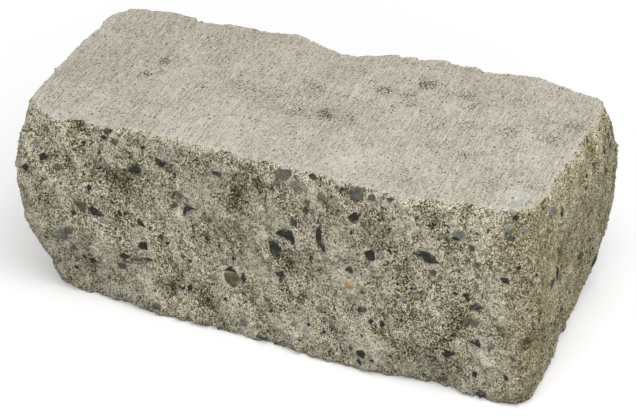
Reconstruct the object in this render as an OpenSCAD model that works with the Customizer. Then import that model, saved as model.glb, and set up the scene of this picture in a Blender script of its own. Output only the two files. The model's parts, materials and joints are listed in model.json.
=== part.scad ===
// Garden wall block: one piece of dense concrete, pressed in a mould between two
// flat bed faces and then split on all four sides, with its edges knocked off.
// Frame: X along the block, Y across it, Z up. The origin is on the floor, under
// the middle of the block. All sizes are in millimetres.

/* [Block] */
// Overall length, over the two split ends
block_length = 290; // [220:5:400]
// Overall width, over the two split sides
block_width = 145; // [100:5:200]
// Height between the two moulded bed faces
block_height = 110; // [70:2:160]

/* [Split faces] */
// How far the two ends swell at mid height, beyond their top and bottom edges
end_swell = 4; // [0:0.5:8]
// How far the two long sides swell at mid height
side_swell = 2; // [0:0.5:8]
// How far the broken surface stands in and out, at most
relief_depth = 2.4; // [0:0.2:5]
// Width of the largest bumps and hollows of the broken surface
relief_size = 42; // [25:1:60]
// Which break this is: another number gives another block of the same kind
fracture_seed = 7; // [1:1:99]

/* [Worn edges] */
// Radius worn on the edges of the top bed face
top_edge_radius = 3; // [2:0.5:7]
// Radius worn on the edges of the bottom bed face
bottom_edge_radius = 5; // [2:0.5:8]
// Radius in plan of the upright edge at the front left
front_left_radius = 10; // [10:1:30]
// Radius in plan of the upright edge at the front right
front_right_radius = 12; // [10:1:30]
// Radius in plan of the upright edge at the back right
back_right_radius = 10; // [10:1:30]
// Radius in plan of the upright edge at the back left
back_left_radius = 16; // [10:1:30]

/* [Mesh] */
// Spacing of the surface points along and up the split faces
point_spacing = 5; // [5:0.5:12]

/* [Hidden] */

// Plan radii of the upright edges, anticlockwise from the back right
corner_radii = [
    back_right_radius, back_left_radius, front_left_radius, front_right_radius
];

// The broad form of this break, as a list of hollows; a negative depth is a swelling.
// Each line is [place along X, place across Y, place up Z, reach, depth]. Places are
// shares of the block, from -1 to 1 in X and Y and from 0 to 1 in Z.
broad_forms = [
    [-0.45, -1.00, 0.45, 130, 11],   // front face set in on the left
    [0.70, -1.00, 0.00, 100, -5],    // its foot swells on the right
    [0.60, -1.00, 0.00, 36, 6],      // with a dip in it
    [-0.75, -1.00, 0.00, 50, 5],     // and is set in at the left
    [0.48, -1.00, 1.00, 50, -5.5],   // its top edge swells on the right
    [-1.00, -1.00, 0.70, 50, -2],    // upright edges left standing at the front left
    [1.00, 1.00, 0.65, 90, -8],      // and at the back right
    [1.00, 0.05, 1.00, 75, -4],      // top edge of the right end stands out
    [-1.00, 0.20, 1.00, 70, -0.5],   // and so, a little, does that of the left end
    [-0.30, 1.00, 1.00, 90, -2],     // top edge of the back stands out in two places
    [0.55, 1.00, 1.00, 60, -1.5],
    [0.92, 1.00, 1.00, 40, 7],       // and is set in near the right end
];

// Corners and edges knocked off, in the same form. These are deepest at a point.
knocks = [
    [-1.00, -1.00, 1.00, 34, 15],    // top corner at the front left
    [1.00, -1.00, 1.00, 40, 4],      // at the front right
    [1.00, 1.00, 1.00, 28, 7],       // at the back right
    [-1.00, 1.00, 1.00, 45, 5],      // and at the back left
    [-1.00, -1.00, 0.00, 70, 21],    // bottom corner at the front left
    [-1.00, 1.00, 0.00, 60, 14],     // at the back left
    [1.00, 1.00, 0.00, 50, 4.5],     // and at the back right
    [0.00, 1.00, 1.00, 38, 16],      // spall in the top edge at the back
];

// How far the rough body runs past each bed face before it is cut
overcut = 2;
// Length of the table of random numbers that the relief is drawn from
table_length = 4096;

// ---- Random relief -------------------------------------------------------

random_table = rands(-1, 1, table_length, fracture_seed);

function mix(a, b, t) = a + (b - a) * t;
function ease(t) = t * t * (3 - 2 * t);

// One fixed random number for each corner of a cubic lattice
function lattice(i, j, k) =
    let (place = (i * 131 + j * 317 + k * 733) % table_length)
    random_table[place < 0 ? place + table_length : place];

// The lattice's number at share u of the way along one of its rows
function lattice_row(i, j, k, u) = mix(lattice(i, j, k), lattice(i + 1, j, k), u);

// Smooth noise from -1 to 1: the lattice's numbers, eased between its corners
function smooth_noise(p) =
    let (
        i = floor(p.x),
        j = floor(p.y),
        k = floor(p.z),
        u = ease(p.x - i),
        v = ease(p.y - j),
        w = ease(p.z - k)
    )
    mix(
        mix(lattice_row(i, j, k, u), lattice_row(i, j + 1, k, u), v),
        mix(lattice_row(i, j, k + 1, u), lattice_row(i, j + 1, k + 1, u), v),
        w
    );

// Broken surface: bumps of three sizes, each half as wide and half as high as the last
function relief(p) =
    relief_depth / 1.75 * (
        smooth_noise(p / relief_size)
        + smooth_noise(p / relief_size * 2 + [11, 5, 3]) / 2
        + smooth_noise(p / relief_size * 4 + [7, 19, 13]) / 4
    );

// ---- Plan outline --------------------------------------------------------

// Centre of each rounded corner, anticlockwise from the back right
function corner_centre(k) =
    let (
        r = corner_radii[k],
        side_x = (k == 0 || k == 3) ? 1 : -1,
        side_y = k < 2 ? 1 : -1
    )
    [side_x * (block_length / 2 - r), side_y * (block_width / 2 - r)];

function on_corner(k, angle) =
    corner_centre(k) + corner_radii[k] * [cos(angle), sin(angle)];

// Points on the quarter circle of corner k
function corner_points(k) =
    let (steps = max(2, round(corner_radii[k] * PI / 2 / point_spacing)))
    [for (i = [0 : steps - 1]) on_corner(k, 90 * k + 90 * i / steps)];

// Points along the straight side that follows corner k
function side_points(k) =
    let (
        start = on_corner(k, 90 * k + 90),
        end = on_corner((k + 1) % 4, 90 * k + 90),
        steps = max(2, round(norm(end - start) / point_spacing))
    )
    [for (i = [0 : steps - 1]) mix(start, end, i / steps)];

outline = [for (k = [0 : 3]) each concat(corner_points(k), side_points(k))];
columns = len(outline);

// The block's spine runs along X at mid width. A point of the outline moves in
// and out along the line to its own place on the spine.
spine_half = (block_length - block_width) / 2;
function spine_place(p) = [max(-spine_half, min(spine_half, p.x)), 0];
function inward(p) = (spine_place(p) - p) / norm(spine_place(p) - p);

// ---- Split faces ---------------------------------------------------------

// How far an edge of radius r has worn in, at a distance d from the bed face
function edge_wear(r, d) = d >= r ? 0 : r - sqrt(r * r - pow(r - max(d, 0), 2));

// How far the swelling of the sides has fallen back, above and below mid height
function swell_inset(q, z) =
    let (n = inward(q))
    (end_swell * n.x * n.x + side_swell * n.y * n.y) * pow(abs(2 * z / block_height - 1), 3);

// How a hollow dies away with distance: pointed or rounded at its middle
function bell(t, pointed) = t >= 1 ? 0 : pow(pointed ? 1 - t : 1 - t * t, 2);

function sum_of(list, i = 0) = i == len(list) ? 0 : list[i] + sum_of(list, i + 1);

// How deep the hollows of a list reach in all, at point p
function forms_inset(forms, p, pointed) = sum_of([
    for (form = forms)
        let (
            centre = [
                form[0] * block_length / 2,
                form[1] * block_width / 2,
                form[2] * block_height
            ]
        )
        form[4] * bell(norm(p - centre) / form[3], pointed)
]);

// How far the split face lies inside the plan outline, at place q and height z
function inset(q, z) =
    let (p = [q.x, q.y, z])
    swell_inset(q, z)
    + edge_wear(top_edge_radius, block_height - z)
    + edge_wear(bottom_edge_radius, z)
    + forms_inset(broad_forms, p, false)
    + forms_inset(knocks, p, true)
    + relief(p);

rings = ceil((block_height + 2 * overcut) / point_spacing);
function ring_height(j) = -overcut + (block_height + 2 * overcut) * j / rings;

raw_rings = [
    for (j = [0 : rings])
        let (z = ring_height(j), held = max(0, min(block_height, z)))
        [for (q = outline) let (r = q + inward(q) * inset(q, held)) [r.x, r.y, z]]
];

// The broken body is fitted to the overall length and width
xs = [for (ring = raw_rings) for (p = ring) p.x];
ys = [for (ring = raw_rings) for (p = ring) p.y];
function fitted(v, values, size) =
    (v - (max(values) + min(values)) / 2) * size / (max(values) - min(values));
surface_points = [
    for (ring = raw_rings)
        for (p = ring)
            [fitted(p.x, xs, block_length), fitted(p.y, ys, block_width), p.z]
];

// ---- Solid ---------------------------------------------------------------

function index(j, i) = j * columns + i % columns;
wall_faces = [
    for (j = [0 : rings - 1])
        for (i = [0 : columns - 1])
            each [
                [index(j, i), index(j + 1, i), index(j + 1, i + 1)],
                [index(j, i), index(j + 1, i + 1), index(j, i + 1)]
            ]
];

// Flat caps: each column joins its own place on the spine
spine_steps = max(1, round(spine_half / (2 * point_spacing)));
function spine_index(i) =
    let (x = spine_place(outline[i % columns]).x)
    round((x / spine_half + 1) / 2 * spine_steps);
function spine_row(z) = [
    for (k = [0 : spine_steps]) [mix(-spine_half, spine_half, k / spine_steps), 0, z]
];
low_spine = len(surface_points);
high_spine = low_spine + spine_steps + 1;

function cap(j, spine_start) = [
    for (i = [0 : columns - 1])
        let (a = spine_index(i), b = spine_index(i + 1))
        each concat(
            [[index(j, i), index(j, i + 1), spine_start + a]],
            a == b ? [] : [[index(j, i + 1), spine_start + b, spine_start + a]]
        )
];

function flipped(faces) = [for (f = faces) [f[2], f[1], f[0]]];

module rough_body() {
    polyhedron(
        points = concat(
            surface_points,
            spine_row(ring_height(0)),
            spine_row(ring_height(rings))
        ),
        faces = concat(wall_faces, cap(0, low_spine), flipped(cap(rings, high_spine))),
        convexity = 4
    );
}

// The mould left the two bed faces flat
module between_bed_faces() {
    translate([-block_length, -block_width, 0])
        cube([2 * block_length, 2 * block_width, block_height]);
}

module wall_block() {
    color([0.56, 0.53, 0.45])
        intersection() {
            rough_body();
            between_bed_faces();
        }
}

wall_block();
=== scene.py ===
# %% [markdown]
# # A split-faced garden wall block
# The real block is one piece of concrete. It is pressed in a mould between two flat bed
# faces, and once it has hardened it is split on its four sides, which leaves them rough
# and shows the stone inside. This script loads the block's solid as a fixed frame, then
# gives it the surface that the solid leaves plain: broken sand and cement, stones of
# several kinds, and a moulded top face with drag lines and open pores.

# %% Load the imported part
import json
import math

import bpy
import numpy as np
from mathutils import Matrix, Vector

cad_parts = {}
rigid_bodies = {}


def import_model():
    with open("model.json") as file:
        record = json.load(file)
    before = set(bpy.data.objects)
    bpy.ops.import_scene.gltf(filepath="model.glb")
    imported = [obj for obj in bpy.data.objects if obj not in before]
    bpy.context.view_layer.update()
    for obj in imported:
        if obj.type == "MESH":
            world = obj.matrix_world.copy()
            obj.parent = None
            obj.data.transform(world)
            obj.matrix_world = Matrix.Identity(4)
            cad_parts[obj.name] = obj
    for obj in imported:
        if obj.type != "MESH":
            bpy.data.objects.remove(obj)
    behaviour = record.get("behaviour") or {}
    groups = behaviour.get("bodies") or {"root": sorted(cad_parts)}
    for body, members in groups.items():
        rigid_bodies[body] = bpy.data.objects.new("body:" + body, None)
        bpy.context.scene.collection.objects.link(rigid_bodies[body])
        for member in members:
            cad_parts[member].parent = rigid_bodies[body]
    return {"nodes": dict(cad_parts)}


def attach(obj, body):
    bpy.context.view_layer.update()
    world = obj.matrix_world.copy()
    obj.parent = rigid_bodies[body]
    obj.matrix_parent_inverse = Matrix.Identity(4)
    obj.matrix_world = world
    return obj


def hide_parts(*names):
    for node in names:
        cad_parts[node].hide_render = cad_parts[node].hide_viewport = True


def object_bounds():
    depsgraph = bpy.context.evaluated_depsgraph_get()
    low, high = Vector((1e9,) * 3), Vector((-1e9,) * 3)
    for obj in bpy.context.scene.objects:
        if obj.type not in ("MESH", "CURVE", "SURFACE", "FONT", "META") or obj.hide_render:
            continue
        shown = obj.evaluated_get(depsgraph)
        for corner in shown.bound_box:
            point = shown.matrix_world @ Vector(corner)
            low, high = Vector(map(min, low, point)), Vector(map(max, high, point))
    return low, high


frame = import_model()
cad_low, cad_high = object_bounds()
MM = 0.001
low = np.array(cad_low) / MM
high = np.array(cad_high) / MM
size = high - low
print("block, mm:", size.round(2))

# %% [markdown]
# ## Camera
# The camera looks down on the front face and the right end from a good way off, as a
# catalogue picture does, so that upright edges stay nearly parallel. Its place is given
# as a turn round the block and a rise above the floor, aimed at a point inside the block.

# %% Camera
CAMERA_TURN = math.radians(20.8)
CAMERA_RISE = math.radians(32)
CAMERA_DISTANCE = 1.379
CAMERA_AIM = np.array([0.001, 0, 0.0475])
LENS = 150
FRAME_WIDTH = 36

level_part = math.cos(CAMERA_RISE)
backwards = np.array([
    math.sin(CAMERA_TURN) * level_part,
    -math.cos(CAMERA_TURN) * level_part,
    math.sin(CAMERA_RISE),
])
camera_data = bpy.data.cameras.new("camera")
camera_data.lens = LENS
camera_data.sensor_width = FRAME_WIDTH
camera_data.clip_end = 20
camera = bpy.data.objects.new("camera", camera_data)
camera.location = CAMERA_AIM + CAMERA_DISTANCE * backwards
camera.rotation_euler = (math.pi / 2 - CAMERA_RISE, 0, CAMERA_TURN)
bpy.context.scene.collection.objects.link(camera)
bpy.context.scene.camera = camera
print("camera at, m:", [round(v, 3) for v in camera.location])

# %% [markdown]
# ## Adding nodes
# The background, the floor and every finish of the block are node trees. Each node
# could be added, set up and linked in lines of its own, but then the idea of a finish is
# lost among them. So one short helper does all three, and is used throughout.

# %% A helper that adds a node
def put(tree, kind, settings=None, **inputs):
    """Add a node, apply its settings, and set or link its inputs. An input is named as
    in Blender with spaces as underscores, or is a number written as _0, _1."""
    made = tree.nodes.new(kind)
    for name, value in (settings or {}).items():
        setattr(made, name, value)
    for name, value in inputs.items():
        key = int(name[1:]) if name[0] == "_" else name.replace("_", " ")
        if isinstance(value, bpy.types.NodeSocket):
            tree.links.new(value, made.inputs[key])
        else:
            made.inputs[key].default_value = value
    return made


def combined(tree, operation, a, b, c=0.0):
    """Two or three numbers or sockets combined by a Math node."""
    settings = {"operation": operation}
    return put(tree, "ShaderNodeMath", settings, _0=a, _1=b, _2=c).outputs[0]


def seen_by_camera(tree):
    """A factor of 1 for what the camera sees, straight or mirrored, and 0 for the light."""
    path = put(tree, "ShaderNodeLightPath").outputs
    straight_or_mirrored = combined(
        tree, "MAXIMUM", path["Is Camera Ray"], path["Is Glossy Ray"]
    )
    return combined(tree, "MAXIMUM", straight_or_mirrored, path["Is Transmission Ray"])


print("node helpers:", put.__name__, combined.__name__, seen_by_camera.__name__)

# %% [markdown]
# ## Light and background
# A split face shows its grain only if the light rakes across it. A strong small lamp
# would do that too, but with hard black shadows. So the main lamp is a large soft panel
# high above the block, and a weak white world fills the shadows. To the camera the world
# is plain white, whatever light it gives.

# %% Light and background
WORLD_STRENGTH = 0.525
PANEL_SIZE = 1.1
PANEL_PLACE = np.array([0.42, -0.62, 1.4])
PANEL_POWER = 21.9

world = bpy.data.worlds.new("studio")
world.use_nodes = True
bpy.context.scene.world = world
sky = world.node_tree
sky.nodes.clear()
fill_light = put(sky, "ShaderNodeBackground", Strength=WORLD_STRENGTH)
seen_white = put(sky, "ShaderNodeBackground", Strength=1.0)
sky_mix = put(
    sky, "ShaderNodeMixShader",
    _0=seen_by_camera(sky), _1=fill_light.outputs[0], _2=seen_white.outputs[0],
)
put(sky, "ShaderNodeOutputWorld", Surface=sky_mix.outputs[0])

panel_data = bpy.data.lights.new("panel", "AREA")
panel_data.shape = "SQUARE"
panel_data.size = PANEL_SIZE
panel_data.energy = PANEL_POWER
panel = bpy.data.objects.new("panel", panel_data)
panel.location = PANEL_PLACE
turn_down = math.atan2(math.hypot(PANEL_PLACE[0], PANEL_PLACE[1]), PANEL_PLACE[2])
panel.rotation_euler = (turn_down, 0, math.atan2(PANEL_PLACE[0], -PANEL_PLACE[1]))
bpy.context.scene.collection.objects.link(panel)
bpy.context.scene.view_settings.view_transform = "Standard"
print("lit by a panel of", PANEL_SIZE, "m and a world of", WORLD_STRENGTH)

# %% [markdown]
# ## Floor
# The block stands on a pale floor that takes its shadow. A plain floor would end in a
# visible edge against the white. So the camera sees it a little brighter than the light
# alone makes it, more so further out, until it runs into the background.

# %% Floor
FLOOR_HALF = 4.0
FLOOR_COLOUR = (0.335, 0.335, 0.33, 1)
FLOOR_SEEN_COLOUR = (0.68, 0.68, 0.68, 1)
FLOOR_SEEN_LIFT = 0.33
FLOOR_NEAR = 0.25
FLOOR_FAR = 1.6

floor_corners = np.array([(-1, -1, 0), (1, -1, 0), (1, 1, 0), (-1, 1, 0)])
floor_mesh = bpy.data.meshes.new("floor")
floor_mesh.from_pydata((FLOOR_HALF * floor_corners).tolist(), [], [(0, 1, 2, 3)])
floor = bpy.data.objects.new("floor", floor_mesh)
bpy.context.scene.collection.objects.link(floor)
floor_material = bpy.data.materials.new("floor")
floor_material.use_nodes = True
tree = floor_material.node_tree
tree.nodes.clear()
plain = put(tree, "ShaderNodeBsdfDiffuse", Color=FLOOR_COLOUR)
bright = put(tree, "ShaderNodeBsdfDiffuse", Color=FLOOR_SEEN_COLOUR)
floor_place = put(tree, "ShaderNodeTexCoord").outputs["Object"]
from_middle = put(tree, "ShaderNodeVectorMath", {"operation": "LENGTH"}, _0=floor_place)
with_distance = put(
    tree, "ShaderNodeMapRange", Value=from_middle.outputs["Value"],
    From_Min=FLOOR_NEAR, From_Max=FLOOR_FAR, To_Min=FLOOR_SEEN_LIFT,
)
lift = put(tree, "ShaderNodeEmission", Strength=with_distance.outputs[0])
lifted = put(tree, "ShaderNodeAddShader", _0=bright.outputs[0], _1=lift.outputs[0])
floor_mix = put(
    tree, "ShaderNodeMixShader",
    _0=seen_by_camera(tree), _1=plain.outputs[0], _2=lifted.outputs[0],
)
put(tree, "ShaderNodeOutputMaterial", Surface=floor_mix.outputs[0])
floor_mesh.materials.append(floor_material)
print("floor:", 2 * FLOOR_HALF, "m square, and", len(tree.nodes), "nodes")

# %% [markdown]
# ## Smooth noise
# Broken concrete is irregular at every scale, from lumps as wide as a thumb to single
# grains of sand. A Displace modifier can move a mesh by a noise texture, but the stones
# and the dirt have to know the heights too. So the noise is worked out here, for a whole
# array of points at once. The first kind is smooth, for lumps.

# %% Smooth noise
def random_at(corners, seed):
    """One fixed number from 0 to 1 for each whole-number corner: its three numbers are
    multiplied by large primes, mixed and scrambled."""
    i, j, k = corners.astype(np.uint64).T
    mixed = i * np.uint64(73856093) ^ j * np.uint64(19349663) ^ k * np.uint64(83492791)
    mixed = mixed ^ np.uint64(seed * 2654435761)
    for shift in (33, 29):
        mixed = (mixed ^ (mixed >> np.uint64(shift))) * np.uint64(0xFF51AFD7ED558CCD)
    return (mixed >> np.uint64(40)).astype(float) / 2**24


def smooth_noise(points, width, seed):
    """Noise from -1 to 1 with lumps about as wide as width: the random numbers at the
    eight corners round each point, blended by the eased distance to each."""
    place = points / width + 1000
    corner = np.floor(place).astype(np.int64)
    share = place - corner
    share = share * share * (3 - 2 * share)
    total = np.zeros(len(points))
    for step in np.ndindex(2, 2, 2):
        weight = np.prod(np.where(step, share, 1 - share), axis=1)
        total += weight * random_at(corner + np.array(step), seed)
    return 2 * total - 1


def rough_noise(points, width, seed, octaves=3):
    """Sum of smooth noises, each half as wide and 0.55 as strong as the one before."""
    total = np.zeros(len(points))
    for n in range(octaves):
        total += 0.55**n * smooth_noise(points, width / 2**n, seed + 31 * n)
    return total


sample = np.random.default_rng(1).uniform(0, 100, (4000, 3))
print("smooth noise spread:", smooth_noise(sample, 5, 3).std().round(2))

# %% [markdown]
# ## Cells and facets
# Smooth lumps alone look like clay. A break has facets that meet in ledges, round grains
# and pits. All three come from scattering one centre in each cube of a lattice and asking
# which is nearest: the distance gives grains and pits, and a small tilted plane round
# each centre gives facets.

# %% Cell noise and facets
def cell_noise(points, width, seed):
    """For each point: the distance to the nearest scattered centre, in cell widths, the
    offset from that centre, and the centre's whole-number cell."""
    place = points / width + 1000
    corner = np.floor(place).astype(np.int64)
    nearest = np.full(len(points), 9.0)
    offset = np.zeros_like(points)
    owner = np.zeros_like(corner)
    for step in np.ndindex(3, 3, 3):
        cell = corner + np.array(step) - 1
        centre = cell + np.stack([random_at(cell, seed + n) for n in range(3)], axis=1)
        apart = place - centre
        distance = np.linalg.norm(apart, axis=1)
        closer = distance < nearest
        nearest = np.where(closer, distance, nearest)
        offset[closer] = apart[closer]
        owner[closer] = cell[closer]
    return nearest, offset, owner


def facet_noise(points, width, seed):
    """Broken facets: round each scattered centre the height is a small plane with its
    own level and tilt, so that neighbours meet in ledges. About -1 to 1."""
    nearest, offset, owner = cell_noise(points, width, seed)
    level = random_at(owner, seed + 11) - 0.5
    tilt = np.stack([random_at(owner, seed + 12 + n) - 0.5 for n in range(3)], axis=1)
    return level + 2 * (tilt * offset).sum(axis=1)


print("facet noise spread:", facet_noise(sample, 5, 3).std().round(2))

# %% [markdown]
# ## The body's skin
# The solid's sides are flat facets about 5 mm wide, too coarse for a broken face. So a
# fine closed grid is laid over it. First a plain upright wall of rings is made, standing
# clear of the solid all round. Its normals are level, so a Shrinkwrap modifier that
# projects along them brings each point straight in onto the solid at its own height,
# however deep the face is worn there. The two bed faces are flat, so they are filled in
# afterwards, with rings that close on a line along the middle of the block.

# %% A plain wall of rings
COLUMNS = 696
WALL_GAP = 22.0
WALL_CORNER = 60.0
CORNER_CROWDING = 0.72
EDGE_ZONE = 5.0
EDGE_RINGS = 5
SIDE_RINGS = 83


def plan_line(half_length, half_width):
    """Points round a rectangle with round corners, from the middle of its right end,
    and the direction each faces. The facing angle is steady along a side and turns
    through a corner, and the corner's centre moves along a side and waits in a corner.
    A corner gets fewer points than its arc is long, because they close up on the way in."""
    arc = CORNER_CROWDING * WALL_CORNER * math.pi / 2
    inner_x = half_length - WALL_CORNER
    inner_y = half_width - WALL_CORNER
    long_side, short_side = 2 * inner_x, 2 * inner_y
    stretches = [inner_y, arc, long_side, arc, short_side, arc, long_side, arc, inner_y]
    knots = np.concatenate([[0], np.cumsum(stretches)])
    along = np.linspace(0, knots[-1], COLUMNS, endpoint=False)
    angle = np.interp(along, knots, np.radians([0, 0, 90, 90, 180, 180, 270, 270, 360, 360]))
    centre_x = np.interp(along, knots, inner_x * np.array([1, 1, 1, -1, -1, -1, -1, 1, 1, 1]))
    centre_y = np.interp(along, knots, inner_y * np.array([0, 1, 1, 1, 1, -1, -1, -1, -1, 0]))
    facing = np.stack([np.cos(angle), np.sin(angle)], axis=1)
    return np.stack([centre_x, centre_y], axis=1) + WALL_CORNER * facing, facing


def wall_heights():
    """Heights of the rings: even up the side, and in the rounded edges spaced as the
    heights of even steps round a quarter circle."""
    quarter = EDGE_ZONE * (1 - np.cos(np.linspace(0, math.pi / 2, EDGE_RINGS, endpoint=False)))
    foot = low[2] + 0.02
    roof = high[2] - 0.02
    side = np.linspace(foot + EDGE_ZONE, roof - EDGE_ZONE, SIDE_RINGS)
    return np.concatenate([foot + quarter, side, (roof - quarter)[::-1]])


plan, facing = plan_line(size[0] / 2 + WALL_GAP, size[1] / 2 + WALL_GAP)
heights = wall_heights()
wall = np.zeros((len(heights), COLUMNS, 3))
wall[:, :, :2] = plan
wall[:, :, 2] = heights[:, None]
print("wall:", len(heights), "rings of", COLUMNS, "points")

# %% [markdown]
# ## From arrays to a mesh
# Every piece of this block is worked out as arrays of points and faces. Adding them to a
# mesh one by one would be slow, so they go in whole, with foreach_set. A grid that runs
# round the block closes into a loop: its last column joins the first.

# %% Grid faces and mesh objects
def grid_faces(rings, columns):
    """Two triangles for each cell of a grid whose columns close into a loop."""
    ring = np.arange(rings - 1)[:, None] * columns
    here = np.arange(columns)[None, :]
    a = ring + here
    b = ring + (here + 1) % columns
    cells = np.stack([a, b, b + columns, a, b + columns, a + columns], axis=2)
    return cells.reshape(-1, 3)


def mesh_object(name, points, faces, smooth):
    """A mesh object from arrays: points in millimetres, faces as rows of three."""
    mesh = bpy.data.meshes.new(name)
    mesh.vertices.add(len(points))
    mesh.vertices.foreach_set("co", (points * MM).astype(np.float32).ravel())
    mesh.loops.add(faces.size)
    mesh.loops.foreach_set("vertex_index", faces.astype(np.int32).ravel())
    mesh.polygons.add(len(faces))
    mesh.polygons.foreach_set("loop_start", np.arange(0, faces.size, 3, dtype=np.int32))
    mesh.polygons.foreach_set("loop_total", np.full(len(faces), 3, np.int32))
    mesh.polygons.foreach_set("use_smooth", np.full(len(faces), smooth))
    mesh.update(calc_edges=True)
    made = bpy.data.objects.new(name, mesh)
    bpy.context.scene.collection.objects.link(made)
    return made


print("triangles in the wall:", len(grid_faces(len(heights), COLUMNS)))

# %% [markdown]
# ## The wall on the solid
# On the real block the sides are where the splitting blade left them, so the wall has to
# lie on the solid before any relief is added. A modifier could stay on the finished piece,
# but everything after this needs the points as numbers. So a scratch object is wrapped,
# its points are read back, and it is removed. The solid's own flat facets are then
# evened out, least near the bed faces, whose edges stay as crisp as they are.

# %% Bring the wall in onto the solid
EVENED_TIMES = 8
EDGE_KEPT = 8.0


def draped(grid, target):
    """The grid's points moved inwards, each along its own normal, onto the target."""
    scratch = mesh_object("drape", grid.reshape(-1, 3), grid_faces(*grid.shape[:2]), True)
    wrap = scratch.modifiers.new("wrap", "SHRINKWRAP")
    wrap.target = target
    wrap.wrap_method = "PROJECT"
    wrap.use_negative_direction = True
    wrap.use_positive_direction = False
    held = scratch.evaluated_get(bpy.context.evaluated_depsgraph_get()).data
    moved = np.zeros(len(held.vertices) * 3, np.float32)
    held.vertices.foreach_get("co", moved)
    bpy.data.objects.remove(scratch)
    return moved.astype(float).reshape(grid.shape) / MM


def evened(field, times, upright=True):
    """Each value moved halfway to the mean of its neighbours, so many times over: along
    the ring, and also up and down where upright is true."""
    for _ in range(times):
        mean = (np.roll(field, 1, axis=1) + np.roll(field, -1, axis=1)) / 2
        if upright:
            below = np.concatenate([field[:1], field[:-1]])
            above = np.concatenate([field[1:], field[-1:]])
            mean = (mean + (below + above) / 2) / 2
        field = (field + mean) / 2
    return field


on_solid = draped(wall, frame["nodes"]["wall_block"])
travel = np.linalg.norm(on_solid - wall, axis=2)
print("the wall came in by", travel.min().round(1), "to", travel.max().round(1), "mm")

from_foot = np.clip((heights - low[2]) / EDGE_KEPT, 0, 1)
from_roof = np.clip((high[2] - heights) / EDGE_KEPT, 0, 1)
between_edges = from_foot * from_roof
soft = evened(on_solid[:, :, :2], EVENED_TIMES)
crisp = evened(on_solid[:, :, :2], EVENED_TIMES, upright=False)
wall[:, :, :2] = crisp + between_edges[:, None, None] * (soft - crisp)
print("evened by at most", np.abs(wall - on_solid).max().round(2), "mm")

# %% [markdown]
# ## The broken faces
# A hammer-split face is not a smooth lump. It breaks in small ledges, where the crack
# turned round a stone, each ledge is rough with sand, and here and there a stone has
# dropped out and left a pit. The heights below are added straight out from the wall.
# Most of them go inwards, so that the block keeps its size, and they fade out over the
# first centimetre of the bed faces, so that the edges between them are ragged too. A
# sculpted or a scanned surface would hold one break only. Noise gives as much relief as
# the grid can carry, and each size of it has a strength of its own.

# %% Heights of the broken faces
LUMP, LUMP_WIDTH = 1.5, 18
LEDGE, LEDGE_WIDTH = 1.7, 13
FLAKE, FLAKE_WIDTH = 0.85, 5.5
SAND, SAND_WIDTH = 0.25, 2.4
PIT, PIT_WIDTH = 1.6, 7
UPWARDS = 0.5


def wandering(points, width, reach, seed):
    """The points, each moved up to reach by smooth noise, which bends straight borders."""
    shifts = [smooth_noise(points, width, seed + n) for n in range(3)]
    return points + reach * np.stack(shifts, axis=1)


def broken_heights(points):
    """Heights in millimetres: smooth lumps, ledges and flakes from facet noise at two
    widths, rounded sand from the distance to cell centres, and a bowl in one cell of
    four for the pits. All but the sand is drawn out upwards, the way the blade split."""
    drawn = points * np.array([1, 1, UPWARDS])
    bent = wandering(drawn, 5, 1.6, 61)
    lumps = LUMP * rough_noise(drawn, LUMP_WIDTH, 5)
    ledges = LEDGE * facet_noise(bent, LEDGE_WIDTH, 21)
    flakes = FLAKE * facet_noise(bent, FLAKE_WIDTH, 47)
    sand = SAND * (1 - 2 * cell_noise(points, SAND_WIDTH, 83)[0])
    nearest, offset, owner = cell_noise(bent, PIT_WIDTH, 101)
    bowl = np.clip(1 - (nearest / 0.36) ** 2, 0, 1)
    pits = PIT * bowl * (random_at(owner, 5) > 0.72)
    return lumps + ledges + flakes + sand - pits


raised = broken_heights(wall.reshape(-1, 3)).reshape(len(heights), COLUMNS)
print("raised, mm: mean", raised.mean().round(2), "spread", raised.std().round(2))

# %% [markdown]
# ## Calmer places
# The right end broke more evenly than the other faces, and the top edge of the left end
# is worn smooth. Other noise could be drawn there, but then the faces would not meet
# round the corners. So the same heights are kept, and made lower where it is calm.

# %% Calm the right end and the left top edge
SUNK = 0.4
LEFT_EDGE_SUNK = 0.3
END_CALMER = 0.35
LEFT_EDGE_CALMER = 0.55
WORN_TOP = 7

end_calm = np.clip(facing[:, 0] * 2.2 - 1.1, 0, 1)
near_top = np.clip((heights - high[2]) / WORN_TOP + 1.1, 0, 1)
left_calm = near_top[:, None] * np.clip(-2 * facing[:, 0], 0, 1)
raised -= SUNK + LEFT_EDGE_SUNK * left_calm
raised *= (1 - END_CALMER * end_calm) * (1 - LEFT_EDGE_CALMER * left_calm)
print("calmed, mm: mean", raised.mean().round(2), "spread", raised.std().round(2))
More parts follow.
